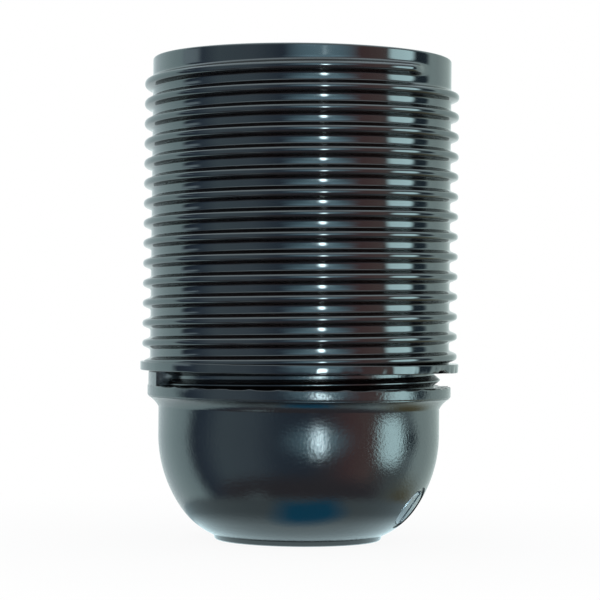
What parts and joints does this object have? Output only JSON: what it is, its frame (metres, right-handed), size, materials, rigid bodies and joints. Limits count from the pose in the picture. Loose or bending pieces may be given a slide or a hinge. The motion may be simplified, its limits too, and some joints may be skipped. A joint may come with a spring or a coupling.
{
  "type": "lamp holder",
  "caption": "Moulded lamp holder with a fully threaded barrel for shade rings, a domed base with an M10 entry and a side locking screw, and a steatite contact insert.",
  "frame": {"origin": "centre of the dome boss's flat face, the lowest point", "axes": "+Z along the barrel towards the lamp's mouth, -Y the front, with the locking screw towards +X and slightly to the front"},
  "size_m": [0.04, 0.04, 0.0602],
  "materials": {
    "phenolic": "moulded black phenolic, glossy with a faint orange peel",
    "plated_steel": "zinc-plated turned steel",
    "steatite": "fired steatite, satin, unglazed where it is cut",
    "contact_brass": "nickel-washed spring brass, pressed"
  },
  "bodies": {
    "dome_body": {"dome": "phenolic", "entry_bush": "plated_steel"},
    "locking_screw_body": {"locking_screw": "plated_steel"},
    "insert": {"contact_block": "steatite", "centre_contact": "contact_brass", "side_contact": "contact_brass", "centre_rivet": "contact_brass", "side_rivet": "contact_brass", "centre_terminal": "contact_brass", "side_terminal": "contact_brass"},
    "sleeve": {"threaded_sleeve": "phenolic"},
    "centre_screw_set": {"centre_terminal_screw": "plated_steel", "centre_clamp": "plated_steel"},
    "side_screw_set": {"side_terminal_screw": "plated_steel", "side_clamp": "plated_steel"}
  },
  "joints": [
    {"name": "insert_travel", "type": "slide", "parent": "dome_body", "child": "insert", "axis": [0, 0, 1], "range_m": [0, 0.00438]},
    {"name": "sleeve_turn", "type": "hinge", "parent": "insert", "child": "sleeve", "pos_m": [0, 0, 0.04], "axis": [0, 0, 1], "range_deg": [0, 900]},
    {"name": "locking_screw_travel", "type": "slide", "parent": "dome_body", "child": "locking_screw_body", "axis": [0.7698, -0.2802, -0.5736], "range_m": [-0.0006, 0.004]},
    {"name": "centre_screw_travel", "type": "slide", "parent": "insert", "child": "centre_screw_set", "axis": [0, 0, -1], "range_m": [0, 0.0015]},
    {"name": "side_screw_travel", "type": "slide", "parent": "insert", "child": "side_screw_set", "axis": [0, 0, -1], "range_m": [0, 0.0015]}
  ],
  "couplings": [
    {"joint": "insert_travel", "follows": "sleeve_turn", "m_per_rad": 0.00027852}
  ]
}
